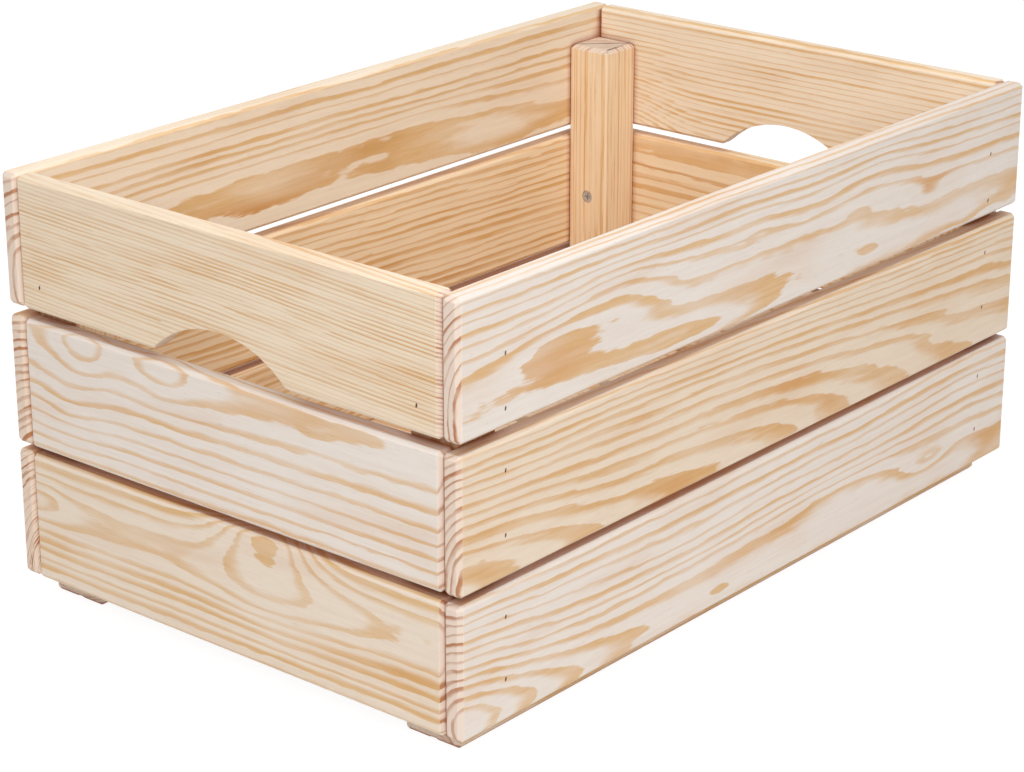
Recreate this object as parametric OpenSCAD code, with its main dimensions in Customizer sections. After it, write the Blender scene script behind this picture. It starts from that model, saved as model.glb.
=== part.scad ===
// Open wooden crate of pine boards: three boards on each wall, four corner posts,
// a slatted floor and two runners. Millimetres, +X along the length, +Z up.
// The origin is the middle of the footprint, on the underside of the runners.

/* [Crate] */
// Outside length of the crate
crate_length = 520; // [460:10:700]
// Outside width of the crate
crate_width = 330; // [260:10:460]

/* [Boards] */
// Height of one wall board, from its lower edge to its upper edge
board_height = 76; // [64:1:100]
// Thickness of the wall boards
board_thickness = 12; // [10:0.5:18]
// Chamfer along the long edges of boards and slats
edge_chamfer = 2; // [0.5:0.5:3]
// Chamfer round the ends of boards and slats
end_chamfer = 2.5; // [0.5:0.5:4]
// Open gap between the top and the middle boards
upper_gap = 6; // [2:1:12]
// Open gap between the middle and the bottom boards
lower_gap = 4; // [2:1:12]

/* [Handholds] */
// Width of the handhold at the lower edge of the board
handhold_width = 100; // [80:5:120]
// Height of the handhold above the lower edge of the board
handhold_rise = 21; // [15:1:35]

/* [Corner posts] */
// Size of a post along the length of the crate
post_length = 30; // [26:1:44]
// Size of a post across the crate
post_width = 31; // [24:1:40]
// Depth of the post's top below the rim
post_drop = 20; // [5:1:40]
// Chamfer along the edges of a post
post_chamfer = 1; // [0.5:0.25:2]

/* [Floor] */
// Thickness of the floor slats
slat_thickness = 12; // [8:0.5:18]
// Open gap between neighbouring slats
slat_gap = 12; // [4:1:24]
// Play between the floor and the walls
floor_play = 0.5; // [0.2:0.1:2]

/* [Runners] */
// Width of a runner
runner_width = 38; // [34:1:60]
// Thickness of a runner
runner_thickness = 12; // [8:0.5:25]
// Width of the groove under a runner
groove_width = 5; // [2:0.5:8]
// Depth of the groove under a runner
groove_depth = 1.5; // [0.5:0.25:3]

/* [Nails] */
// Diameter of a nail's shank
nail_diameter = 1.6; // [1:0.1:2.5]
// Diameter of a nail's head
nail_head_diameter = 2.6; // [2.6:0.1:5]
// Thickness of a nail's head
nail_head_thickness = 1; // [0.5:0.1:2]
// Depth of a nail's head below the wood
nail_sink = 0.5; // [0:0.1:2]
// Depth that a wall nail reaches into the post
wall_nail_grip = 22; // [15:1:23]
// Depth that a floor nail reaches into the runner
floor_nail_grip = 7; // [3:0.5:7]
// Distance of the wall nails from the inner arris of the post
nail_setback = 7; // [6:1:16]
// Drop of the upper nail below the edge of its board or the top of its post
upper_nail_drop = 17; // [10:1:24]
// Rise of the lower nail in a middle or bottom board
lower_nail_rise = 24; // [12:1:30]
// Rise of the lower nail in a top board
top_board_nail_rise = 10; // [8:1:11]
// Rise of the nail that holds the end of a top end board
end_nail_rise = 15; // [14:1:20]
// Distance between the two floor nails over a runner, along the slat
floor_nail_spacing = 14; // [10:1:20]

/* [Screws] */
// Diameter of a screw's shank
screw_diameter = 4; // [3:0.5:5]
// Diameter of a screw's head
screw_head_diameter = 8; // [6:0.5:10]
// Depth of a screw's head below the wood
screw_sink = 0.5; // [0:0.1:2]
// Depth that a post screw reaches into the end board
post_screw_grip = 8; // [4:0.5:9]
// Depth that a runner screw reaches into the post
runner_screw_grip = 18; // [10:1:24]
// Height of a post screw above the lower edge of the middle board
post_screw_rise = 36; // [30:1:36]
// Distance of a runner screw from the outer face of its post, along the crate
runner_screw_setback = 10; // [7:1:12]
// Distance of a runner screw from the outer edge of its runner
runner_screw_edge = 9; // [7:1:10]
// Width of one arm of the cross recess in a screw's head
recess_arm = 1.1; // [0.8:0.1:1.4]
// Span of the cross recess in a screw's head
recess_span = 4.6; // [3:0.1:5]
// Depth of the cross recess in a screw's head
recess_depth = 1.6; // [1:0.1:2]
// Room between a fastener and the hole that it sits in
fastener_play = 0.1; // [0.05:0.05:0.3]

/* [Hidden] */
$fn = 32;

// Sides and levels that name where a piece sits
front = -1;
back = 1;
left = -1;
right = 1;
bottom = 0;
middle = 1;
top = 2;
levels = [bottom, middle, top];
slat_count = 6;

// Room inside the walls
inner_length = crate_length - 2 * board_thickness;
inner_width = crate_width - 2 * board_thickness;

// Heights
board_bottoms = [
    runner_thickness,
    runner_thickness + board_height + lower_gap,
    runner_thickness + 2 * board_height + lower_gap + upper_gap
];
rim_height = board_bottoms[top] + board_height;
floor_height = runner_thickness + slat_thickness;
post_top = rim_height - post_drop;
post_height = post_top - floor_height;

// Floor slats share the inner length evenly
slat_width = (inner_length - 2 * floor_play - (slat_count - 1) * slat_gap) / slat_count;
slat_length = inner_width - 2 * floor_play;
slat_pitch = slat_width + slat_gap;
first_slat_x = -(slat_count - 1) * slat_pitch / 2;

// Middles of posts and runners, measured from the middle of the crate
post_x = inner_length / 2 - post_length / 2;
post_y = inner_width / 2 - post_width / 2;
runner_y = inner_width / 2 - runner_width / 2;

// The handhold is a segment of this circle
handhold_radius = (pow(handhold_width / 2, 2) + pow(handhold_rise, 2)) / (2 * handhold_rise);

// Fasteners
wall_nail_length = board_thickness + wall_nail_grip - nail_sink;
floor_nail_length = slat_thickness + floor_nail_grip - nail_sink;
post_screw_length = post_length + post_screw_grip - screw_sink;
runner_screw_length = floor_height + runner_screw_grip - screw_sink;
screw_cone_height = (screw_head_diameter - screw_diameter) / 2;
nail_point = 2 * nail_diameter;
screw_point = 1.5 * screw_diameter;
hole_mouth = 1;
wall_nail_x = inner_length / 2 - post_length + nail_setback;
post_screw_z = board_bottoms[middle] + post_screw_rise;
runner_screw_x = inner_length / 2 - runner_screw_setback;
runner_screw_y = inner_width / 2 - runner_screw_edge;

pine = "#e6c79c";
end_pine = "#e2bf92";
nail_steel = "#6f6a63";
zinc = "#b9bcc0";

// Heights of the two nails in each end of a side board
function wall_nail_heights(level) = level == top
    ? [board_bottoms[top] + top_board_nail_rise, post_top - upper_nail_drop]
    : [board_bottoms[level] + lower_nail_rise, board_bottoms[level] + board_height - upper_nail_drop];

function slat_x(number) = first_slat_x + (number - 1) * slat_pitch;

// Rectangle with its corners cut at 45 degrees
module chamfered_rectangle(a, b, cut) {
    polygon([
        [-a / 2 + cut, -b / 2], [a / 2 - cut, -b / 2], [a / 2, -b / 2 + cut], [a / 2, b / 2 - cut],
        [a / 2 - cut, b / 2], [-a / 2 + cut, b / 2], [-a / 2, b / 2 - cut], [-a / 2, -b / 2 + cut]
    ]);
}

// Planed board along X with every edge chamfered, standing on its long edge at Z = 0
module planed_board(long, thick, high) {
    translate([0, 0, high / 2]) intersection() {
        rotate([90, 0, 90]) linear_extrude(long, center = true)
            chamfered_rectangle(thick, high, edge_chamfer);
        rotate([90, 0, 0]) linear_extrude(thick, center = true)
            chamfered_rectangle(long, high, end_chamfer);
        linear_extrude(high, center = true)
            chamfered_rectangle(long, thick, end_chamfer);
    }
}

// Nail along +Z with the top of its head at Z = 0
module nail(long) {
    cylinder(d = nail_head_diameter, h = nail_head_thickness);
    cylinder(d = nail_diameter, h = long - nail_point);
    translate([0, 0, long - nail_point]) cylinder(d1 = nail_diameter, d2 = 0, h = nail_point);
}

// Hole that a nail sits in, open above its head
module nail_hole(long) {
    translate([0, 0, -nail_sink - hole_mouth])
        cylinder(d = nail_head_diameter + 2 * fastener_play,
                 h = nail_sink + hole_mouth + nail_head_thickness + fastener_play);
    cylinder(d = nail_diameter + 2 * fastener_play, h = long + fastener_play);
}

// Countersunk screw along +Z with the top of its head at Z = 0
module screw(long) {
    difference() {
        union() {
            cylinder(d1 = screw_head_diameter, d2 = screw_diameter, h = screw_cone_height);
            cylinder(d = screw_diameter, h = long - screw_point);
            translate([0, 0, long - screw_point])
                cylinder(d1 = screw_diameter, d2 = 0, h = screw_point);
        }
        for (turn = [0, 90]) rotate([0, 0, turn])
            translate([-recess_span / 2, -recess_arm / 2, -hole_mouth])
                cube([recess_span, recess_arm, hole_mouth + recess_depth]);
    }
}

// Hole that a screw sits in, open above its head
module screw_hole(long) {
    translate([0, 0, -screw_sink - hole_mouth])
        cylinder(d = screw_head_diameter + 2 * fastener_play, h = screw_sink + hole_mouth);
    cylinder(d1 = screw_head_diameter + 2 * fastener_play, d2 = screw_diameter + 2 * fastener_play,
             h = screw_cone_height);
    cylinder(d = screw_diameter + 2 * fastener_play, h = long + fastener_play);
}

// Places of the fasteners, each with +Z pointing into the wood
module at_wall_nails(sides, ends, at_levels) {
    for (side = sides, end = ends, level = at_levels, z = wall_nail_heights(level))
        translate([end * wall_nail_x, side * (crate_width / 2 - nail_sink), z])
            rotate([side * 90, 0, 0]) children();
}

module at_end_nails(ends, sides) {
    for (end = ends, side = sides)
        translate([end * (crate_length / 2 - nail_sink), side * post_y,
                   board_bottoms[top] + end_nail_rise])
            rotate([0, -end * 90, 0]) children();
}

module at_post_screws(ends, sides) {
    for (end = ends, side = sides)
        translate([end * (inner_length / 2 - post_length + screw_sink), side * post_y, post_screw_z])
            rotate([0, end * 90, 0]) children();
}

module at_runner_screws(ends, sides) {
    for (end = ends, side = sides)
        translate([end * runner_screw_x, side * runner_screw_y, screw_sink]) children();
}

module at_floor_nails(numbers, sides) {
    for (number = numbers, side = sides, step = [-1, 1])
        translate([slat_x(number), side * runner_y + step * floor_nail_spacing / 2,
                   floor_height - nail_sink])
            rotate([180, 0, 0]) children();
}

// Full-length board of a long side
module side_board(side, level) {
    color(pine) difference() {
        translate([0, side * (crate_width - board_thickness) / 2, board_bottoms[level]])
            planed_board(crate_length, board_thickness, board_height);
        at_wall_nails([side], [left, right], [level]) nail_hole(wall_nail_length);
    }
}

// Board of a short end, fitted between the two long sides
module plain_end_board(end, level) {
    translate([end * (crate_length - board_thickness) / 2, 0, board_bottoms[level]])
        rotate([0, 0, 90]) planed_board(inner_width, board_thickness, board_height);
}

module end_board_bottom(end) {
    color(end_pine) plain_end_board(end, bottom);
}

module end_board_middle(end) {
    color(end_pine) difference() {
        plain_end_board(end, middle);
        at_post_screws([end], [front, back]) screw_hole(post_screw_length);
    }
}

// Top end board, with the half-moon handhold cut into its lower edge
module end_board_top(end) {
    color(end_pine) difference() {
        plain_end_board(end, top);
        translate([end * (crate_length - board_thickness) / 2, 0,
                   board_bottoms[top] + handhold_rise - handhold_radius])
            rotate([0, 90, 0])
                cylinder(r = handhold_radius, h = 2 * board_thickness, center = true, $fn = 96);
        at_end_nails([end], [front, back]) nail_hole(wall_nail_length);
    }
}

// Post in a corner, standing on the floor slat
module corner_post(end, side) {
    color(end_pine) difference() {
        translate([end * post_x, side * post_y, floor_height]) linear_extrude(post_height)
            chamfered_rectangle(post_length, post_width, post_chamfer);
        at_wall_nails([side], [end], levels) nail_hole(wall_nail_length);
        at_end_nails([end], [side]) nail_hole(wall_nail_length);
        at_post_screws([end], [side]) screw_hole(post_screw_length);
        at_runner_screws([end], [side]) screw_hole(runner_screw_length);
    }
}

// Slat across the floor, lying flat on both runners
module floor_slat(number) {
    color(pine) difference() {
        translate([slat_x(number), 0, runner_thickness + slat_thickness / 2])
            rotate([0, 90, 90]) translate([0, 0, -slat_length / 2]) slat_blank();
        if (number > 1 && number < slat_count)
            at_floor_nails([number], [front, back]) nail_hole(floor_nail_length);
        if (number == 1)
            at_runner_screws([left], [front, back]) screw_hole(runner_screw_length);
        if (number == slat_count)
            at_runner_screws([right], [front, back]) screw_hole(runner_screw_length);
    }
}

// Slat along +Z from Z = 0, its thickness along X and its width along Y
module slat_blank() {
    linear_extrude(slat_length)
        chamfered_rectangle(slat_thickness, slat_width, edge_chamfer);
}

// Runner along the crate under the posts, its ends and outer face in line with the room inside
module runner(side) {
    color(pine) difference() {
        translate([0, side * runner_y, 0])
            planed_board(inner_length, runner_width, runner_thickness);
        translate([-crate_length / 2, side * runner_y - groove_width / 2, -hole_mouth])
            cube([crate_length, groove_width, hole_mouth + groove_depth]);
        at_runner_screws([left, right], [side]) screw_hole(runner_screw_length);
        at_floor_nails([2, 3, 4, 5], [side]) nail_hole(floor_nail_length);
    }
}

module wall_nails() {
    color(nail_steel) at_wall_nails([front, back], [left, right], levels) nail(wall_nail_length);
}

module end_nails() {
    color(nail_steel) at_end_nails([left, right], [front, back]) nail(wall_nail_length);
}

module floor_nails() {
    color(nail_steel) at_floor_nails([2, 3, 4, 5], [front, back]) nail(floor_nail_length);
}

module post_screws() {
    color(zinc) at_post_screws([left, right], [front, back]) screw(post_screw_length);
}

module runner_screws() {
    color(zinc) at_runner_screws([left, right], [front, back]) screw(runner_screw_length);
}

side_board(front, bottom);  // front_side_board_bottom
side_board(front, middle);  // front_side_board_middle
side_board(front, top);  // front_side_board_top
side_board(back, bottom);  // back_side_board_bottom
side_board(back, middle);  // back_side_board_middle
side_board(back, top);  // back_side_board_top
end_board_bottom(left);  // left_end_board_bottom
end_board_middle(left);  // left_end_board_middle
end_board_top(left);  // left_end_board_top
end_board_bottom(right);  // right_end_board_bottom
end_board_middle(right);  // right_end_board_middle
end_board_top(right);  // right_end_board_top
corner_post(left, front);  // front_left_post
corner_post(right, front);  // front_right_post
corner_post(left, back);  // back_left_post
corner_post(right, back);  // back_right_post
floor_slat(1);  // floor_slat_1
floor_slat(2);  // floor_slat_2
floor_slat(3);  // floor_slat_3
floor_slat(4);  // floor_slat_4
floor_slat(5);  // floor_slat_5
floor_slat(6);  // floor_slat_6
runner(front);  // front_runner
runner(back);  // back_runner
wall_nails();
end_nails();
floor_nails();
post_screws();
runner_screws();
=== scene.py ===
"""Open crate of planed pine boards, with corner posts, a slatted floor and two runners.

Every length is in metres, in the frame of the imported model. The figure of the wood is written
in millimetres: a point on a board is (along, across, depth) from one corner of its shown face.
"""
import math

import bpy
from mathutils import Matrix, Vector


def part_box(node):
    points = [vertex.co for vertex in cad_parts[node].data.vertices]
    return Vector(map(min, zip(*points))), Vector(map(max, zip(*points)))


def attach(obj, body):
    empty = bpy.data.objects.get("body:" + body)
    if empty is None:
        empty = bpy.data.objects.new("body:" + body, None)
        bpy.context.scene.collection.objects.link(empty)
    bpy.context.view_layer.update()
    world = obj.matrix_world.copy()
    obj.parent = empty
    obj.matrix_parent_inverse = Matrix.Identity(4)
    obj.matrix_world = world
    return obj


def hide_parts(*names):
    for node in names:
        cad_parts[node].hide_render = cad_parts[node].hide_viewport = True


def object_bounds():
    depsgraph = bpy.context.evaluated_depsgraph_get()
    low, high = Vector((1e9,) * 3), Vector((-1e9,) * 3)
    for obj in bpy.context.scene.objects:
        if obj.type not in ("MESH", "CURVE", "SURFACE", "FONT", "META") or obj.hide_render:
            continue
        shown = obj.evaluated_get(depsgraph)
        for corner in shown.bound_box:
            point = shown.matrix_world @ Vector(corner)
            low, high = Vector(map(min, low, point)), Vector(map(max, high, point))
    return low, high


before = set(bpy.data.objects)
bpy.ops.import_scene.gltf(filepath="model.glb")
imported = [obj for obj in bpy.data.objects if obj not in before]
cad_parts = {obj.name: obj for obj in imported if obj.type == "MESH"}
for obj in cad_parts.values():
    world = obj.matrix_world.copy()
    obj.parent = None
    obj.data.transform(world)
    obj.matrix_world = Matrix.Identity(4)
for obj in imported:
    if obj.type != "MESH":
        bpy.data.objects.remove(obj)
cad_low, cad_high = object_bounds()

MM = 0.001
X, Y, Z = Vector((1, 0, 0)), Vector((0, 1, 0)), Vector((0, 0, 1))

# Camera of the photograph: its place, its heading from +X towards +Y, its tilt below the horizon
IMAGE_WIDTH = 1024
CAMERA_PLACE = Vector((-1.2472, -1.0277, 0.7052))
CAMERA_HEADING = 40.03
CAMERA_TILT = 20.85
FOCAL_PIXELS = 2922
SENSOR_MM = 36

# Cuts of the wood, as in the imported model. The handhold's cutter is longer than the board is
# thick, by this many times
EDGE_CHAMFER = 2.0 * MM
END_CHAMFER = 2.5 * MM
POST_CHAMFER = 1.0 * MM
SLAT_END_CHAMFER = 0.25 * MM
SOFT_ARRIS = 0.4 * MM
SHARP_ARRIS = math.radians(25)
ARC_FACET = math.radians(4)
HANDHOLD_WIDTH = 100 * MM
HANDHOLD_RISE = 21 * MM
HANDHOLD_SIDES = 256
CUTTER_OVER_BOARD = 4
GROOVE_WIDTH = 5 * MM
GROOVE_DEPTH = 1.5 * MM

# Openings above the sunk heads: a nail lies under a slit that closed over it, a screw lies open
NAILS = ("wall_nails", "end_nails", "floor_nails")
SCREWS = ("post_screws", "runner_screws")
POINT_GRID = 0.001 * MM
HEAD_SINK = 0.5 * MM
MOUTH_SIDES = 20
MOUTH_SLANT = math.radians(12)
NAIL_SLIT_WIDTH = 1.4 * MM
NAIL_SLIT_LENGTH = 2.7 * MM
NAIL_SLIT_FLOOR = 0.15 * MM
SCREW_MOUTH = 8.3 * MM
SCREW_MOUTH_FLOOR = 3.0 * MM

# Stage: the pale floor just below the runners, the white behind it and the sky that lights
FLOOR_SIZE = 12.0
FLOOR_PLAY = 0.1 * MM
FLOOR_GREY = 0.86
FLOOR_ROUGHNESS = 0.9
GLOW = 1.15
GLOW_SHARE = 0.8
SKY_STRENGTH = 0.46

# Places of the colour sockets of a Mix node
MIX_FIRST = 6
MIX_SECOND = 7
MIX_COLOUR = 2


def pick(tree, kind, **settings):
    """Adds a shader node and sets its properties."""
    node = tree.nodes.new(kind)
    for name, value in settings.items():
        setattr(node, name, value)
    return node


def feed(tree, socket, value):
    """Links a socket to another one, or gives it a constant."""
    if isinstance(value, bpy.types.NodeSocket):
        tree.links.new(value, socket)
    elif value is not None:
        socket.default_value = value


def sums(tree, operation, *values, clamp=False):
    """One Math node."""
    node = pick(tree, "ShaderNodeMath", operation=operation, use_clamp=clamp)
    for socket, value in zip(node.inputs, values):
        feed(tree, socket, value)
    return node.outputs[0]


def vectors(tree, operation, *values, out=0):
    """One Vector Math node."""
    node = pick(tree, "ShaderNodeVectorMath", operation=operation)
    for socket, value in zip(node.inputs, values):
        feed(tree, socket, value)
    return node.outputs[out]


def ramp(tree, value, low, high, to_low=0.0, to_high=1.0):
    """Smooth step of a value from low to high."""
    node = pick(tree, "ShaderNodeMapRange", interpolation_type="SMOOTHSTEP")
    for name, given in (("Value", value), ("From Min", low), ("From Max", high),
                        ("To Min", to_low), ("To Max", to_high)):
        feed(tree, node.inputs[name], given)
    return node.outputs["Result"]


def between(tree, share, low, high):
    """Straight run from low, where the share is 0, to high, where it is 1."""
    return sums(tree, "MULTIPLY_ADD", share, high - low, low)


def shake(tree, value, noise, width):
    """Moves a value up and down by a noise, over a width in all."""
    return sums(tree, "MULTIPLY_ADD", sums(tree, "SUBTRACT", noise, 0.5), width, value)


def clouds(tree, point, scale=1.0, detail=2.0, roughness=0.5, spread=(1, 1, 1)):
    """Noise between 0 and 1, stretched by spread."""
    node = pick(tree, "ShaderNodeTexNoise", noise_dimensions="3D")
    feed(tree, node.inputs["Vector"], vectors(tree, "MULTIPLY", point, tuple(spread)))
    feed(tree, node.inputs["Scale"], scale)
    feed(tree, node.inputs["Detail"], detail)
    feed(tree, node.inputs["Roughness"], roughness)
    return node.outputs["Fac"]


def blend(tree, factor, first, second, mode="MIX"):
    """Mixes two colours."""
    node = pick(tree, "ShaderNodeMix", data_type="RGBA", blend_type=mode)
    feed(tree, node.inputs["Factor"], factor)
    feed(tree, node.inputs[MIX_FIRST], first)
    feed(tree, node.inputs[MIX_SECOND], second)
    return node.outputs[MIX_COLOUR]


def effect(name, inputs, outputs):
    """Starts a node group with named sockets, and gives its tree, its inputs and its outputs."""
    tree = bpy.data.node_groups.new(name, "ShaderNodeTree")
    for label, kind in inputs.items():
        tree.interface.new_socket(label, in_out="INPUT", socket_type="NodeSocket" + kind)
    for label, kind in outputs.items():
        tree.interface.new_socket(label, in_out="OUTPUT", socket_type="NodeSocket" + kind)
    entry = tree.nodes.new("NodeGroupInput")
    leave = tree.nodes.new("NodeGroupOutput")
    return tree, entry.outputs, leave.inputs


def use(tree, group, **values):
    """Places a node group, with its inputs named in lower case, and gives its outputs."""
    node = pick(tree, "ShaderNodeGroup", node_tree=group)
    for label, value in values.items():
        feed(tree, node.inputs[label.replace("_", " ").capitalize()], value)
    return node.outputs


def linear(red, green, blue):
    """Scene colour of a colour given as 8-bit sRGB."""
    def one(value):
        share = value / 255
        return share / 12.92 if share <= 0.04045 else ((share + 0.055) / 1.055) ** 2.4
    return (one(red), one(green), one(blue), 1.0)


# Noises in the wood, with their cells per millimetre along, across and into the board
STEM_WAVE = dict(detail=2.0, roughness=0.42)
FIBRE_FUZZ = dict(detail=3.0, roughness=0.6, spread=(0.09, 1.3, 1.3))
RIPPLE = dict(detail=1.0, spread=(0.05, 0.16, 0.16))
PALE_PATCHES = dict(detail=1.0, spread=(0.012, 0.07, 0.07))
FINE_STREAKS = dict(detail=3.0, roughness=0.65, spread=(0.05, 2.2, 2.2))
BROAD_STREAKS = dict(detail=2.0, spread=(0.012, 0.3, 0.3))
CANAL_DOTS = dict(detail=0.0, spread=(0.16, 3.0, 3.0))
AMBER_PATCHES = dict(detail=2.0, spread=(0.008, 0.03, 0.03))

# Stem: how fast good and bad years follow each other, how far the noise moves from board to
# board, and a wave's reach across the grain as a share of its length
YEAR_PACE = 0.45
YEAR_DETAIL = 1.0
SEED_STEPS = (137.0, 50.69, 97.27)
WAVE_NARROWING = 0.26

# Late wood, in shares of a year: how far fuzz and ripples move it, where it ends and where that
# edge starts, the share of it in full colour, and its least and greatest width and strength
FUZZ_WIDTH = 0.16
RIPPLE_WIDTH = 0.3
LATE_END = 0.97
LATE_EDGE = 0.93
FULL_SHARE = 0.35
LATE_WIDTHS = (0.75, 1.3)
LATE_STRENGTHS = (0.7, 1.0)
PALE_TURN = (0.3, 0.6)
PALEST = 0.6

# Streaks and resin canals: the share of the fine ones, and where the noises turn into them
FINE_SHARE = 0.6
STREAK_TURN = (0.32, 0.68)
CANAL_TURN = (0.79, 0.86)


def make_board_point():
    """Object coordinates turned into millimetres along, across and into a board."""
    tree, entry, leave = effect(
        "board_point",
        {"Object": "Vector", "Corner": "Vector", "Along": "Vector", "Across": "Vector",
         "Inward": "Vector"},
        {"Point": "Vector"})
    offset = vectors(tree, "SUBTRACT", entry["Object"], entry["Corner"])
    offset = vectors(tree, "MULTIPLY", offset, (1 / MM, 1 / MM, 1 / MM))
    join = pick(tree, "ShaderNodeCombineXYZ")
    for socket, name in zip(join.inputs, ("Along", "Across", "Inward")):
        feed(tree, socket, vectors(tree, "DOT_PRODUCT", offset, entry[name], out=1))
    feed(tree, leave["Point"], join.outputs[0])
    return tree


def seed_offset(tree, seed):
    """Vector that moves a noise away for each board."""
    join = pick(tree, "ShaderNodeCombineXYZ")
    for socket, step in zip(join.inputs, SEED_STEPS):
        feed(tree, socket, sums(tree, "MULTIPLY", seed, step))
    return join.outputs[0]


def wave_reach(tree, length):
    """Vector of a wave's length along the grain and its smaller reach across it."""
    join = pick(tree, "ShaderNodeCombineXYZ")
    narrow = sums(tree, "MULTIPLY", length, WAVE_NARROWING)
    for socket, reach in zip(join.inputs, (length, narrow, narrow)):
        feed(tree, socket, reach)
    return join.outputs[0]


def make_annual_rings():
    """Count of annual rings between the pith of the tree and a point of the board."""
    tree, entry, leave = effect(
        "annual_rings",
        {"Point": "Vector", "Pith height": "Float", "Pith depth": "Float", "Drift": "Float",
         "Ring width": "Float", "Start": "Float", "Taper": "Float", "Uneven": "Float",
         "Wave": "Float", "Wave length": "Float", "Seed": "Float"},
        {"Rings": "Float"})
    split = pick(tree, "ShaderNodeSeparateXYZ")
    feed(tree, split.inputs[0], entry["Point"])
    along, across, depth = split.outputs
    drift = sums(tree, "MULTIPLY", along, entry["Drift"])
    height = sums(tree, "SUBTRACT", sums(tree, "SUBTRACT", across, entry["Pith height"]), drift)
    behind = sums(tree, "SUBTRACT", depth, entry["Pith depth"])
    squares = sums(tree, "ADD", sums(tree, "MULTIPLY", height, height),
                   sums(tree, "MULTIPLY", behind, behind))
    radius = sums(tree, "SQRT", squares)
    rings = sums(tree, "ADD", sums(tree, "DIVIDE", radius, entry["Ring width"]), entry["Start"])
    rings = sums(tree, "MULTIPLY_ADD", along, entry["Taper"], rings)

    # Good and bad years: the ring width varies with the radius
    years = pick(tree, "ShaderNodeTexNoise", noise_dimensions="1D")
    feed(tree, years.inputs["W"], sums(tree, "MULTIPLY_ADD", rings, YEAR_PACE, entry["Seed"]))
    feed(tree, years.inputs["Detail"], YEAR_DETAIL)
    uneven = shake(tree, rings, years.outputs["Fac"], entry["Uneven"])

    # The stem is not straight: long waves, with shorter ones on them
    place = vectors(tree, "ADD", entry["Point"], seed_offset(tree, entry["Seed"]))
    shrunk = vectors(tree, "DIVIDE", place, wave_reach(tree, entry["Wave length"]))
    wave = clouds(tree, shrunk, **STEM_WAVE)
    feed(tree, leave["Rings"], shake(tree, uneven, wave, entry["Wave"]))
    return tree


def make_swell():
    """Raises a value round a place: rings that bulge show as a loop or a tongue."""
    tree, entry, leave = effect(
        "swell",
        {"Value": "Float", "Point": "Vector", "Place": "Vector", "Reach": "Vector", "Rise": "Float"},
        {"Value": "Float"})
    offset = vectors(tree, "SUBTRACT", entry["Point"], entry["Place"])
    offset = vectors(tree, "DIVIDE", offset, entry["Reach"])
    square = vectors(tree, "DOT_PRODUCT", offset, offset, out=1)
    bell = sums(tree, "EXPONENT", sums(tree, "MULTIPLY", square, -1.0))
    feed(tree, leave["Value"], sums(tree, "MULTIPLY_ADD", bell, entry["Rise"], entry["Value"]))
    return tree


def make_growth():
    """Late wood from 0 to 1: it builds up slowly in each ring and ends at a sharp edge."""
    tree, entry, leave = effect(
        "growth",
        {"Rings": "Float", "Point": "Vector", "Late share": "Float", "Seed": "Float"},
        {"Late": "Float"})
    point = entry["Point"]
    rings = shake(tree, entry["Rings"], clouds(tree, point, **FIBRE_FUZZ), FUZZ_WIDTH)
    rings = shake(tree, rings, clouds(tree, point, **RIPPLE), RIPPLE_WIDTH)
    phase = sums(tree, "FRACT", rings)
    year = pick(tree, "ShaderNodeTexWhiteNoise", noise_dimensions="1D")
    feed(tree, year.inputs["W"], sums(tree, "ADD", sums(tree, "FLOOR", rings), entry["Seed"]))
    chance = year.outputs["Value"]
    share = sums(tree, "MULTIPLY", entry["Late share"], ramp(tree, chance, 0.0, 1.0, *LATE_WIDTHS))
    start = sums(tree, "SUBTRACT", LATE_END, share)
    full = sums(tree, "MULTIPLY_ADD", share, -FULL_SHARE, LATE_END)
    grown = ramp(tree, phase, start, full)
    ended = ramp(tree, phase, LATE_EDGE, 1.0, 1.0, 0.0)
    patches = ramp(tree, clouds(tree, point, **PALE_PATCHES), *PALE_TURN, PALEST, 1.0)
    strength = sums(tree, "MULTIPLY", ramp(tree, chance, 0.0, 1.0, *LATE_STRENGTHS), patches)
    late = sums(tree, "MULTIPLY", sums(tree, "MULTIPLY", grown, ended), strength)
    feed(tree, leave["Late"], late)
    return tree


def make_fibres():
    """Fine streaks along the grain, and the few dark resin canals among them."""
    tree, entry, leave = effect("fibres", {"Point": "Vector"}, {"Streak": "Float", "Canal": "Float"})
    fine = clouds(tree, entry["Point"], **FINE_STREAKS)
    broad = clouds(tree, entry["Point"], **BROAD_STREAKS)
    streak = sums(tree, "ADD", sums(tree, "MULTIPLY", fine, FINE_SHARE),
                  sums(tree, "MULTIPLY", broad, 1 - FINE_SHARE))
    canals = clouds(tree, entry["Point"], **CANAL_DOTS)
    feed(tree, leave["Streak"], ramp(tree, streak, *STREAK_TURN))
    feed(tree, leave["Canal"], ramp(tree, canals, *CANAL_TURN))
    return tree


BOARD_POINT = make_board_point()
ANNUAL_RINGS = make_annual_rings()
SWELL = make_swell()
GROWTH = make_growth()
FIBRES = make_fibres()

# How a piece lies: the way its length runs, the way across its shown face, and into the wood
LIES = {
    "side": (X, -Z, Y),
    "end": (-Y, -Z, X),
    "post": (-Z, X, Y),
    "slat": (-Y, X, -Z),
    "runner": (X, -Z, Y),
}

# How deep a swell or a stain reaches into a board, in millimetres
SWELL_DEPTH = 60.0

# Tints over the bands: their colours, where each comes in, and its share at both ends of its run
STAIN = linear(206, 148, 88)
STREAKY_LATE = 0.8
AMBER = linear(210, 158, 96)
AMBER_TURN = (0.45, 0.75)
AMBER_SHARES = (0.2, 0.7)
FIBRE_TINT = linear(176, 118, 66)
FIBRE_SHARES = (0.12, -0.04)
CANAL_TINT = linear(140, 84, 44)
CANAL_SHARE = 0.35

# End grain: how far the surface has turned where it shows, its colours, strokes and cover
END_TURN = (0.4, 0.75)
END_EARLY = linear(224, 204, 188)
END_LATE = linear(166, 102, 68)
END_STROKE = 1.6
END_COVER = 0.85

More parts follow.
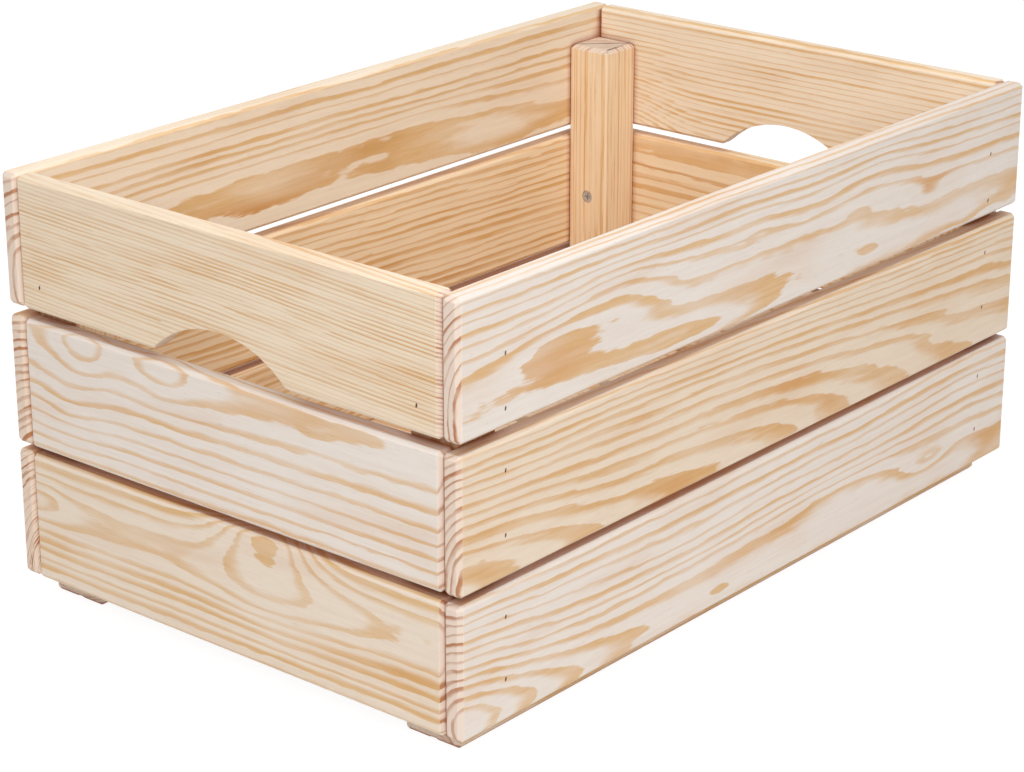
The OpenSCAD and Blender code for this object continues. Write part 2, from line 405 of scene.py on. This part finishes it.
# Painted shade: ambient occlusion darkens the wood's colour towards red-brown in the joints and in the
# slots between the boards, where shade falls
PAINTED_SHADE_TINT = linear(196, 124, 76)
PAINTED_SHADE_SHARE = 0.9
PAINTED_SHADE_TURN = (0.2, 0.72)
PAINTED_SHADE_REACH = 9 * MM
PAINTED_SHADE_RAYS = 4

# Planed surface: roughness of early and of late wood, what a streak adds, sheen and relief
ROUGHNESS = (0.68, 0.56)
STREAK_ROUGHNESS = 0.08
SHEEN = 0.28
RELIEF_STRENGTH = 0.35
RELIEF_DEPTH = 0.08 * MM

# Metal: where its mottle turns from one colour to the other, and from smooth to rough
MOTTLE_COLOURS = (0.4, 0.6)
MOTTLE_ROUGHNESS = (0.3, 0.7)

# Colours of early wood and late wood, from bare pale boards to deeper resinous ones
TONES = {
    "pale": (linear(230, 220, 211), linear(217, 176, 124)),
    "ivory": (linear(230, 215, 198), linear(216, 175, 120)),
    "cream": (linear(230, 212, 191), linear(213, 167, 110)),
    "sand": (linear(233, 216, 192), linear(212, 166, 112)),
    "straw": (linear(242, 225, 202), linear(222, 178, 116)),
    "honey": (linear(244, 220, 187), linear(221, 169, 102)),
}


def new_finish(name):
    """New material, with its tree and its shader."""
    material = bpy.data.materials.new(name)
    material.use_nodes = True
    tree = material.node_tree
    return material, tree, tree.nodes["Principled BSDF"]


def object_point(tree):
    """Coordinates of the object, in metres."""
    return pick(tree, "ShaderNodeTexCoord").outputs["Object"]


def with_spots(tree, value, point, spots):
    """Raises a value at each spot, which is a place, its reach and its rise."""
    for place, reach, rise in spots:
        value = use(tree, SWELL, value=value, point=point, place=(*place, 0.0),
                    reach=(*reach, SWELL_DEPTH), rise=rise)["Value"]
    return value


def wood_colour(tree, point, late, fibres, end, tone, stains):
    """Colour of wood: its bands, the tints over them, its end grain and its resin stains."""
    early_colour, late_colour = TONES[tone]
    streak = fibres["Streak"]
    band = sums(tree, "MULTIPLY", late, ramp(tree, streak, 0.0, 1.0, 1.0, STREAKY_LATE))
    colour = blend(tree, band, early_colour, late_colour)
    amber = ramp(tree, clouds(tree, point, **AMBER_PATCHES), *AMBER_TURN)
    warm = sums(tree, "MULTIPLY", amber, between(tree, late, *AMBER_SHARES))
    colour = blend(tree, warm, colour, AMBER)
    colour = blend(tree, between(tree, streak, *FIBRE_SHARES), colour, FIBRE_TINT)
    colour = blend(tree, sums(tree, "MULTIPLY", fibres["Canal"], CANAL_SHARE), colour, CANAL_TINT)
    ends = blend(tree, sums(tree, "POWER", late, END_STROKE), END_EARLY, END_LATE)
    colour = blend(tree, sums(tree, "MULTIPLY", end, END_COVER), colour, ends)
    if stains:
        stained = with_spots(tree, 0.0, point, stains)
        colour = blend(tree, sums(tree, "MULTIPLY", late, stained, clamp=True), colour, STAIN)
    return colour


def painted_crevice_shade(tree):
    """Share of the painted shade, from ambient occlusion: it darkens joints and gaps, and fades out over
    its reach from the next piece.
    """
    occlusion = pick(tree, "ShaderNodeAmbientOcclusion", samples=PAINTED_SHADE_RAYS)
    occlusion.inputs["Distance"].default_value = PAINTED_SHADE_REACH
    return ramp(tree, occlusion.outputs["AO"], *PAINTED_SHADE_TURN, PAINTED_SHADE_SHARE, 0.0)


def plane_surface(tree, shader, late, streak):
    """Sheen and fine relief of planed wood."""
    rough = between(tree, late, *ROUGHNESS)
    feed(tree, shader.inputs["Roughness"],
         sums(tree, "MULTIPLY_ADD", streak, STREAK_ROUGHNESS, rough))
    shader.inputs["Specular IOR Level"].default_value = SHEEN
    bump = pick(tree, "ShaderNodeBump")
    bump.inputs["Strength"].default_value = RELIEF_STRENGTH
    bump.inputs["Distance"].default_value = RELIEF_DEPTH
    feed(tree, bump.inputs["Height"], streak)
    feed(tree, shader.inputs["Normal"], bump.outputs["Normal"])


def pine(name, node, lie, tone, pith, ring, seed, start=0.0, drift=0.0, taper=0.0, uneven=1.2,
         wave=0.9, wave_length=110.0, late_share=0.45, swells=(), stains=(), faints=()):
    """Bare pine, cut from its own place in its own tree.

    pith is the height and depth of the tree's heart on the board's end, and ring is the mean
    width of a year, in millimetres. start shifts all rings, drift tilts the heart and taper
    thickens the stem along the board. Each swell is a place, its reach and its rise in rings,
    and each stain a place, its reach and its strength. At a faint the late wood is pale.
    """
    along, across, inward = LIES[lie]
    low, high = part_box(node)
    ways = along + across + inward
    corner = Vector([low[i] if ways[i] > 0 else high[i] for i in range(3)])

    material, tree, shader = new_finish(name)
    point = use(tree, BOARD_POINT, object=object_point(tree), corner=tuple(corner),
                along=tuple(along), across=tuple(across), inward=tuple(inward))["Point"]
    rings = use(tree, ANNUAL_RINGS, point=point, pith_height=pith[0], pith_depth=pith[1],
                drift=drift, ring_width=ring, start=start, taper=taper, uneven=uneven, wave=wave,
                wave_length=wave_length, seed=seed)["Rings"]
    rings = with_spots(tree, rings, point, swells)
    late = use(tree, GROWTH, rings=rings, point=point, late_share=late_share, seed=seed)["Late"]
    for place, reach, strength in faints:
        paled = with_spots(tree, 1.0, point, [(place, reach, -strength)])
        late = sums(tree, "MULTIPLY", late, paled)
    fibres = use(tree, FIBRES, point=point)

    # End grain is where the surface faces along the length of the piece
    normal = pick(tree, "ShaderNodeNewGeometry").outputs["True Normal"]
    facing = sums(tree, "ABSOLUTE", vectors(tree, "DOT_PRODUCT", normal, tuple(along), out=1))
    end = ramp(tree, facing, *END_TURN)
    colour = wood_colour(tree, point, late, fibres, end, tone, stains)
    # Painted shade: the colour is multiplied towards red-brown where ambient occlusion finds joints and
    # gaps
    colour = blend(tree, painted_crevice_shade(tree), colour, PAINTED_SHADE_TINT, mode="MULTIPLY")
    feed(tree, shader.inputs["Base Color"], colour)
    plane_surface(tree, shader, late, fibres["Streak"])
    return material


def mottled_metal(name, grain, detail, dark, bright, roughness, metallic):
    """Metal mottled between two colours, with its grain in cells per metre."""
    material, tree, shader = new_finish(name)
    mottle = clouds(tree, object_point(tree), scale=grain, detail=detail)
    feed(tree, shader.inputs["Base Color"],
         blend(tree, ramp(tree, mottle, *MOTTLE_COLOURS), dark, bright))
    feed(tree, shader.inputs["Roughness"], ramp(tree, mottle, *MOTTLE_ROUGHNESS, *roughness))
    shader.inputs["Metallic"].default_value = metallic
    return material


def wire_steel():
    """Dull drawn wire of the nails, with dark oxide."""
    return mottled_metal("wire_steel", grain=900.0, detail=3.0, dark=linear(70, 62, 56),
                         bright=linear(104, 98, 92), roughness=(0.4, 0.65), metallic=0.8)


def zinc_plate():
    """Bright zinc plating of the screws, with faint spangle."""
    return mottled_metal("zinc_plate", grain=1400.0, detail=2.0, dark=linear(186, 186, 190),
                         bright=linear(216, 216, 219), roughness=(0.3, 0.5), metallic=0.7)


def deselect():
    """Leaves nothing selected."""
    bpy.ops.object.select_all(action="DESELECT")


def work_on(obj):
    """Makes one object the only selected and the active one."""
    deselect()
    obj.select_set(True)
    bpy.context.view_layer.objects.active = obj


def settle(obj):
    """Puts the object's place, turn and size into its mesh."""
    work_on(obj)
    bpy.ops.object.transform_apply(location=True, rotation=True, scale=True)


def block(name, low, high):
    """Cube primitive stretched between two corners."""
    deselect()
    bpy.ops.mesh.primitive_cube_add(size=1, location=(low + high) / 2, scale=high - low)
    obj = bpy.context.object
    obj.name = name
    settle(obj)
    return obj


def bevel_edges(obj, chosen, width):
    """Chamfers the edges for which chosen(first point, second point) is true."""
    work_on(obj)
    bpy.context.tool_settings.mesh_select_mode = (False, True, False)
    mesh = obj.data
    for group in (mesh.polygons, mesh.edges, mesh.vertices):
        group.foreach_set("select", [False] * len(group))
    for edge in mesh.edges:
        first, second = (mesh.vertices[i].co for i in edge.vertices)
        edge.select = chosen(first, second)
    bpy.ops.object.mode_set(mode="EDIT")
    bpy.ops.mesh.bevel(offset=width, offset_type="OFFSET", segments=1, affect="EDGES")
    bpy.ops.object.mode_set(mode="OBJECT")


def chamfer_board(obj, low, high, run, edge_cut, end_cut):
    """Cuts the long edges of a board, then the edges round its two ends."""
    axis = max(range(3), key=lambda i: abs(run[i]))
    half_length = (high[axis] - low[axis]) / 2

    def runs_along(a, b):
        return abs(a[axis] - b[axis]) > half_length

    def lies_on_end(a, b):
        return any(abs(a[axis] - end[axis]) < POINT_GRID and abs(b[axis] - end[axis]) < POINT_GRID
                   for end in (low, high))
    bevel_edges(obj, runs_along, edge_cut)
    bevel_edges(obj, lies_on_end, end_cut)


def finish_mesh(obj, *modifiers):
    """Applies modifiers in their order."""
    work_on(obj)
    for kind, settings in modifiers:
        modifier = obj.modifiers.new(kind.lower(), kind)
        for name, value in settings.items():
            setattr(modifier, name, value)
        bpy.ops.object.modifier_apply(modifier=modifier.name)


def cut_away(obj, tool):
    """Takes the tool's shape out of the object and throws the tool away."""
    finish_mesh(obj, ("BOOLEAN", {"operation": "DIFFERENCE", "object": tool, "solver": "EXACT"}))
    bpy.data.objects.remove(tool, do_unlink=True)


def soften(obj):
    """Eases every sharp arris."""
    finish_mesh(obj, ("BEVEL", {"width": SOFT_ARRIS, "segments": 2, "limit_method": "ANGLE",
                                "angle_limit": SHARP_ARRIS, "harden_normals": False}))


def shells(mesh):
    """Points of each closed shell of a mesh, on a grid that joins corners split for shading."""
    owner = {}

    def top(key):
        while owner[key] != key:
            key = owner[key]
        return key
    keys = [tuple(round(c / POINT_GRID) for c in vertex.co) for vertex in mesh.vertices]
    for key in keys:
        owner.setdefault(key, key)
    for face in mesh.polygons:
        corners = [keys[i] for i in face.vertices]
        for other in corners[1:]:
            owner[top(other)] = top(corners[0])
    found = {}
    for key in owner:
        found.setdefault(top(key), []).append(Vector(key) * POINT_GRID)
    return found.values()


def head_of(points):
    """Head point of a nail or screw and its way into the wood: the head is its wider end."""
    low = Vector([min(p[i] for p in points) for i in range(3)])
    high = Vector([max(p[i] for p in points) for i in range(3)])
    middle = (low + high) / 2
    axis = max(range(3), key=lambda i: (high - low)[i])

    def spread(level):
        ring = [p for p in points if abs(p[axis] - level) < POINT_GRID]
        return max(abs(p[i] - middle[i]) for p in ring for i in range(3) if i != axis)
    head_low = spread(low[axis]) > spread(high[axis])
    head = middle.copy()
    head[axis] = low[axis] if head_low else high[axis]
    way = Vector((0, 0, 0))
    way[axis] = 1 if head_low else -1
    return head, way


def openings(nodes, wide, long, floor):
    """Head, way and sizes of the opening above every fastener of some nodes."""
    return [(head_of(points), wide, long, floor)
            for node in nodes for points in shells(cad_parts[node].data)]


MOUTHS = (openings(NAILS, NAIL_SLIT_WIDTH, NAIL_SLIT_LENGTH, NAIL_SLIT_FLOOR)
          + openings(SCREWS, SCREW_MOUTH, SCREW_MOUTH, SCREW_MOUTH_FLOOR))


def mouth_cutter(head, way, wide, long, floor):
    """Oval cutter for the opening in the wood above a sunk head, down to its floor."""
    deselect()
    bpy.ops.mesh.primitive_cylinder_add(vertices=MOUTH_SIDES, radius=1,
                                        depth=2 * (HEAD_SINK + floor))
    obj = bpy.context.object
    obj.scale = (wide / 2, long / 2, 1)
    settle(obj)
    obj.rotation_euler = (0, 0, MOUTH_SLANT)
    settle(obj)
    obj.location = head
    obj.rotation_euler = way.to_track_quat("Z", "Y").to_euler()
    settle(obj)
    return obj


def drill(obj, low, high):
    """Opens a piece above every nail and screw whose head lies in it."""
    for (head, way), wide, long, floor in MOUTHS:
        if all(low[i] - HEAD_SINK < head[i] < high[i] + HEAD_SINK for i in range(3)):
            cut_away(obj, mouth_cutter(head, way, wide, long, floor))


def dress(obj, node, material):
    """Gives a finished piece its material and puts it in the place of its CAD node."""
    work_on(obj)
    bpy.ops.object.shade_smooth_by_angle(angle=ARC_FACET)
    obj.data.materials.clear()
    obj.data.materials.append(material)
    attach(obj, "root")
    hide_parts(node)


def wood_piece(node, lie, edge_cut, end_cut, shape=None, **figure):
    """One piece of wood, from a block to an eased and drilled piece with its own figure."""
    low, high = (Vector(corner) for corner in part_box(node))
    obj = block("wood_" + node, low, high)
    chamfer_board(obj, low, high, LIES[lie][0], edge_cut, end_cut)
    if shape:
        shape(obj, low, high)
    soften(obj)
    drill(obj, low, high)
    dress(obj, node, pine("pine_" + node, node, lie, **figure))


def saw_handhold(obj, low, high):
    """Saws the half-moon handhold into the lower edge of a top end board."""
    radius = ((HANDHOLD_WIDTH / 2) ** 2 + HANDHOLD_RISE ** 2) / (2 * HANDHOLD_RISE)
    centre = Vector(((low.x + high.x) / 2, (low.y + high.y) / 2, low.z + HANDHOLD_RISE - radius))
    deselect()
    bpy.ops.mesh.primitive_cylinder_add(vertices=HANDHOLD_SIDES, radius=radius,
                                        depth=CUTTER_OVER_BOARD * (high.x - low.x),
                                        location=centre, rotation=(0, math.pi / 2, 0))
    tool = bpy.context.object
    settle(tool)
    cut_away(obj, tool)


def plough_groove(obj, low, high):
    """Ploughs the shallow groove along the underside of a runner."""
    middle = (low.y + high.y) / 2
    start = Vector((low.x - GROOVE_WIDTH, middle - GROOVE_WIDTH / 2, low.z - GROOVE_WIDTH))
    stop = Vector((high.x + GROOVE_WIDTH, middle + GROOVE_WIDTH / 2, low.z + GROOVE_DEPTH))
    cut_away(obj, block("plough", start, stop))


def seen_as_white(tree):
    """1 for a ray that shows the backdrop, straight or mirrored, and 0 for one that lights."""
    rays = pick(tree, "ShaderNodeLightPath").outputs
    seen = sums(tree, "MAXIMUM", rays["Is Camera Ray"], rays["Is Glossy Ray"])
    return sums(tree, "MAXIMUM", seen, rays["Is Transmission Ray"])


def lay_floor():
    """Pale floor that looks nearly white and still takes a faint shadow."""
    deselect()
    bpy.ops.mesh.primitive_plane_add(size=FLOOR_SIZE, location=(0, 0, cad_low.z - FLOOR_PLAY))
    ground = bpy.context.object
    ground.name = "ground"
    settle(ground)
    paper, tree, shader = new_finish("paper")
    shader.inputs["Base Color"].default_value = (FLOOR_GREY, FLOOR_GREY, FLOOR_GREY, 1)
    shader.inputs["Roughness"].default_value = FLOOR_ROUGHNESS
    shader.inputs["Specular IOR Level"].default_value = 0.0
    glow = pick(tree, "ShaderNodeEmission")
    glow.inputs["Strength"].default_value = GLOW
    mix = pick(tree, "ShaderNodeMixShader")
    share = sums(tree, "MULTIPLY", seen_as_white(tree), GLOW_SHARE)
    for socket, source in zip(mix.inputs, (share, shader.outputs[0], glow.outputs[0])):
        feed(tree, socket, source)
    feed(tree, tree.nodes["Material Output"].inputs["Surface"], mix.outputs[0])
    ground.data.materials.append(paper)


def light_sky():
    """White sky, which is dimmer where it lights the crate."""
    world = bpy.data.worlds.new("studio")
    bpy.context.scene.world = world
    world.use_nodes = True
    tree = world.node_tree
    background = tree.nodes["Background"]
    background.inputs["Color"].default_value = (1, 1, 1, 1)
    feed(tree, background.inputs["Strength"],
         ramp(tree, seen_as_white(tree), 0.0, 1.0, SKY_STRENGTH, 1.0))


def softbox(name, place, aim, size, power):
    """Large soft lamp that points at a place."""
    lamp = bpy.data.lights.new(name, "AREA")
    lamp.shape = "RECTANGLE"
    lamp.size, lamp.size_y = size
    lamp.energy = power
    obj = bpy.data.objects.new(name, lamp)
    bpy.context.collection.objects.link(obj)
    obj.location = place
    obj.rotation_euler = (Vector(aim) - Vector(place)).to_track_quat("-Z", "Y").to_euler()


# The camera
camera_data = bpy.data.cameras.new("camera")
camera_data.sensor_width = SENSOR_MM
camera_data.lens = FOCAL_PIXELS * SENSOR_MM / IMAGE_WIDTH
camera = bpy.data.objects.new("camera", camera_data)
bpy.context.collection.objects.link(camera)
camera.location = CAMERA_PLACE
camera.rotation_euler = (math.radians(90 - CAMERA_TILT), 0, math.radians(CAMERA_HEADING - 90))
bpy.context.scene.camera = camera

# The long sides
SIDE = dict(lie="side", edge_cut=EDGE_CHAMFER, end_cut=END_CHAMFER)
wood_piece("front_side_board_top", **SIDE, tone="pale", seed=1.3, pith=(60, -48), ring=3.9,
           start=1.72, taper=0.0033, uneven=0.3, wave=0.45, wave_length=70, late_share=0.5,
           swells=[((75, 42), (40, 13), -1.1), ((95, 63), (60, 7), -0.45), ((128, 26), (48, 16), -1.35),
                   ((133, 44), (30, 9), -0.5), ((185, 68), (55, 8), -1.1), ((60, 82), (150, 10), -0.6),
                   ((362, 20), (42, 16), -1.0), ((240, 14), (60, 14), -0.6), ((250, 27), (22, 8), -0.3),
                   ((405, 52), (50, 7), 0.4), ((357, 65), (16, 5), -0.4), ((190, 42), (30, 9), 0.35),
                   ((235, 33), (20, 4), 0.4), ((342, 40), (16, 5), -0.35), ((418, 43), (17, 6), 0.6),
                   ((455, 67), (18, 7), -0.35)],
           stains=[((68, 54), (34, 10), 0.8), ((418, 40), (18, 6), 0.8)])
wood_piece("front_side_board_middle", **SIDE, tone="cream", seed=2.6, pith=(74, -38), ring=4.1,
           start=-0.06, taper=0.0125, uneven=0.4, wave=0.6, wave_length=60, late_share=0.55,
           swells=[((290, 16), (150, 26), -1.7), ((520, 14), (120, 26), -2.4), ((120, 56), (60, 24), 0.6),
                   ((440, 68), (110, 14), 1.0), ((130, 10), (70, 14), -0.5), ((455, 50), (30, 10), 0.4)],
           stains=[((280, 41), (30, 7), 0.7), ((305, 66), (26, 6), 0.9), ((165, 70), (30, 5), 0.6)])
wood_piece("front_side_board_bottom", **SIDE, tone="pale", seed=3.1, pith=(66, -14), ring=6.5,
           start=12.1, uneven=0.3, wave=0.6, wave_length=60, late_share=0.5,
           swells=[((-20, 72), (75, 55), -4.5), ((85, 72), (60, 20), -1.0), ((330, 44), (70, 11), -1.3),
                   ((432, 55), (24, 6), 1.2), ((505, 62), (32, 14), 0.55), ((219, 67), (16, 6), -0.5),
                   ((190, 26), (50, 9), 0.5), ((200, 46), (60, 7), -0.5), ((470, 20), (60, 30), -0.8)],
           stains=[((495, 61), (26, 12), 0.5)])
wood_piece("back_side_board_top", **SIDE, tone="straw", seed=4.9, pith=(62, -22), ring=6.0, start=5.12,
           uneven=0.4, wave=0.8, wave_length=90, late_share=0.5,
           swells=[((200, 40), (190, 14), -1.2), ((270, 55), (50, 16), 0.45), ((390, 57), (40, 12), -0.45),
                   ((330, 40), (60, 10), -0.5), ((60, 60), (60, 20), 0.2), ((170, 64), (60, 8), 0.1)],
           stains=[((175, 64), (50, 7), 1.0)])
wood_piece("back_side_board_middle", **SIDE, tone="honey", seed=5.2, pith=(90, -16), ring=4.7,
           drift=0.03, uneven=0.5, wave=1.3, wave_length=90, late_share=0.5,
           stains=[((355, 68), (50, 6), 1.0)])
wood_piece("back_side_board_bottom", **SIDE, tone="honey", pith=(80, -50), ring=3.8, seed=6.7)

# The ends
END = dict(lie="end", edge_cut=EDGE_CHAMFER, end_cut=END_CHAMFER)
wood_piece("left_end_board_top", **END, shape=saw_handhold, tone="sand", seed=7.4, pith=(-90, 40),
           ring=2.2, drift=0.045, uneven=0.8, wave=0.9, wave_length=160, late_share=0.5,
           swells=[((150, 40), (90, 20), 1.2)],
           faints=[((160, 82), (200, 22), 0.8), ((100, -6), (200, 20), 0.55)])
wood_piece("left_end_board_middle", **END, tone="pale", seed=8.8, pith=(4, -40), ring=6.0, start=-1.42,
           uneven=0.25, wave=0.4, wave_length=60, late_share=0.44,
           swells=[((110, 4), (95, 26), -0.9), ((46, 3), (20, 17), -1.25), ((110, 3), (22, 16), -1.0),
                   ((255, 6), (25, 12), -0.3), ((222, 11), (14, 5), -0.35), ((36, 40), (24, 20), -0.7)])
wood_piece("left_end_board_bottom", **END, tone="ivory", seed=9.5, pith=(27, -22), ring=5.1, start=0.69,
           uneven=0.25, wave=0.35, wave_length=60, late_share=0.6,
           swells=[((182, -6), (36, 26), -4.2), ((182, -4), (24, 12), -0.9),
                   ((185, 34), (55, 20), -1.0), ((240, 27), (20, 8), -0.35),
                   ((90, 27), (50, 8), -0.2), ((0, 26), (30, 11), -1.4), ((30, 44), (80, 14), -0.6)])
wood_piece("right_end_board_top", **END, shape=saw_handhold, tone="straw", seed=10.2, pith=(90, -10),
           ring=3.8, uneven=0.6, wave=0.7, late_share=0.45, swells=[((25, 82), (36, 40), -4.0)])
wood_piece("right_end_board_middle", **END, tone="honey", seed=11.9, pith=(4, -20), ring=5.5,
           start=-0.9, uneven=0.4, wave=0.6, stains=[((60, 20), (60, 5), 1.0)])
wood_piece("right_end_board_bottom", **END, tone="cream", pith=(30, 50), ring=4.0, seed=12.4)

# The corner posts
POST = dict(lie="post", edge_cut=POST_CHAMFER, end_cut=END_CHAMFER, tone="honey", wave_length=60)
wood_piece("front_left_post", **POST, pith=(60, 30), ring=3.0, seed=13.1)
wood_piece("front_right_post", **POST, pith=(-40, 50), ring=3.2, seed=14.5)
wood_piece("back_left_post", **POST, pith=(70, -30), ring=2.8, seed=15.8)
wood_piece("back_right_post", **POST, pith=(-60, -40), ring=3.1, seed=16.3)

# The floor: each slat is cut at another place in its log, a step away from the one before it
SLAT = dict(lie="slat", edge_cut=EDGE_CHAMFER, end_cut=SLAT_END_CHAMFER, tone="cream")
SLAT_COUNT = 6
SLAT_HEART_HEIGHT = 20
SLAT_HEART_RISE = 9
SLAT_HEART_DEPTH = 50
SLAT_HEART_APPROACH = 4
SLAT_RING = 3.6
SLAT_RING_GROWTH = 0.15
SLAT_SEED = 17.0
SLAT_SEED_STEP = 1.7
for number in range(1, SLAT_COUNT + 1):
    heart = (SLAT_HEART_HEIGHT + SLAT_HEART_RISE * number,
             SLAT_HEART_DEPTH - SLAT_HEART_APPROACH * number)
    wood_piece(f"floor_slat_{number}", **SLAT, pith=heart,
               ring=SLAT_RING + SLAT_RING_GROWTH * number,
               seed=SLAT_SEED + SLAT_SEED_STEP * number)
RUNNER = dict(lie="runner", edge_cut=EDGE_CHAMFER, end_cut=END_CHAMFER, shape=plough_groove,
              tone="straw")
wood_piece("front_runner", **RUNNER, pith=(40, 30), ring=3.4, seed=31.3)
wood_piece("back_runner", **RUNNER, pith=(-30, 20), ring=3.6, seed=32.9)

# Nails and screws keep their CAD shape
for metal, nodes in ((wire_steel(), NAILS), (zinc_plate(), SCREWS)):
    for node in nodes:
        fastener_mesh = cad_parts[node].data
        fastener_mesh.materials.clear()
        fastener_mesh.materials.append(metal)

# The stage
lay_floor()
light_sky()
crate_middle = (cad_low + cad_high) / 2
softbox("key", place=(-1.75, -1.75, 1.45), aim=crate_middle, size=(1.4, 1.4), power=34)
softbox("over", place=(-0.35, -0.3, 1.15), aim=(0.15, 0.12, 0.12), size=(0.5, 0.4), power=5.2)
softbox("back", place=(1.9, 1.8, 1.4), aim=crate_middle, size=(1.6, 1.6), power=12)

bpy.context.scene.view_settings.view_transform = "Standard"
